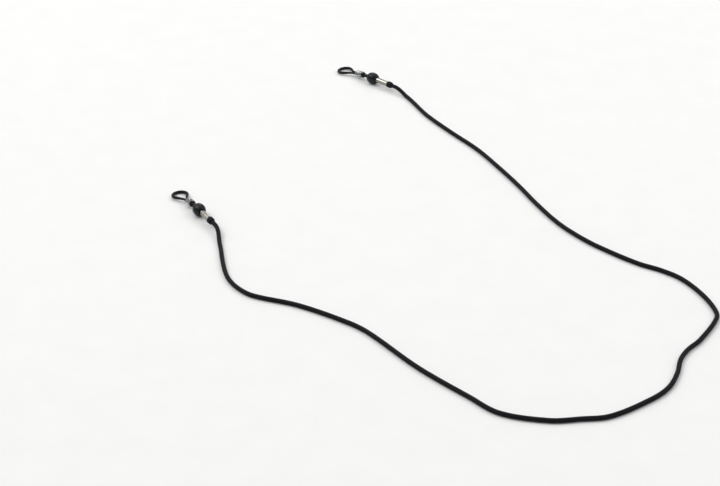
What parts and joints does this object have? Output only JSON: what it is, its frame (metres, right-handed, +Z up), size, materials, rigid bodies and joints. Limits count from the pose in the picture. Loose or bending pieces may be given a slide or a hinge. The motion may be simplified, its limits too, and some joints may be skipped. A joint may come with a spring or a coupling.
{
  "type": "eyeglass retainer strap",
  "caption": "Round braided neck cord with a metal ferrule, swivel bell, rubber noose and clear slider bead at each end, laid out in a loose loop.",
  "frame": {"origin": "on the surface the strap lies on, below the middle of the two end fittings", "axes": "+Z up from the surface, +Y from the left end fitting towards the right one, +X towards the side where the cord's loop lies"},
  "size_m": [0.2555, 0.3279, 0.0064],
  "materials": {
    "cord": "braided, semi-matt",
    "noose_rubber": "satin",
    "clear_plastic": "clear, gloss",
    "bell_plastic": "satin gloss",
    "plug_plastic": "matt",
    "rivet_steel": "turned",
    "ferrule_nickel": "nickel plated, polished",
    "collar_rubber": "matt"
  },
  "bodies": {
    "cord_assembly": {"cord": "cord", "left_ferrule": "ferrule_nickel", "left_swivel_rivet": "rivet_steel", "left_collar": "collar_rubber", "right_ferrule": "ferrule_nickel", "right_swivel_rivet": "rivet_steel", "right_collar": "collar_rubber"},
    "left_end": {"left_noose": "noose_rubber", "left_bell": "bell_plastic", "left_end_plug": "plug_plastic"},
    "left_slider_bead": {"left_slider": "clear_plastic"},
    "right_end": {"right_noose": "noose_rubber", "right_bell": "bell_plastic", "right_end_plug": "plug_plastic"},
    "right_slider_bead": {"right_slider": "clear_plastic"}
  },
  "joints": [
    {"name": "left_swivel", "type": "hinge", "parent": "cord_assembly", "child": "left_end", "pos_m": [-0.0394, -0.0768, 0.0032], "axis": [-0.5299, 0.848, 0], "continuous": true},
    {"name": "left_slider_slide", "type": "slide", "parent": "left_end", "child": "left_slider_bead", "axis": [-0.5259, 0.8417, -0.1222], "range_m": [0, 0.003]},
    {"name": "right_swivel", "type": "hinge", "parent": "cord_assembly", "child": "right_end", "pos_m": [0.0475, 0.0668, 0.0032], "axis": [-0.7547, 0.6561, 0], "continuous": true},
    {"name": "right_slider_slide", "type": "slide", "parent": "right_end", "child": "right_slider_bead", "axis": [-0.7491, 0.6511, -0.1222], "range_m": [0, 0.003]}
  ]
}
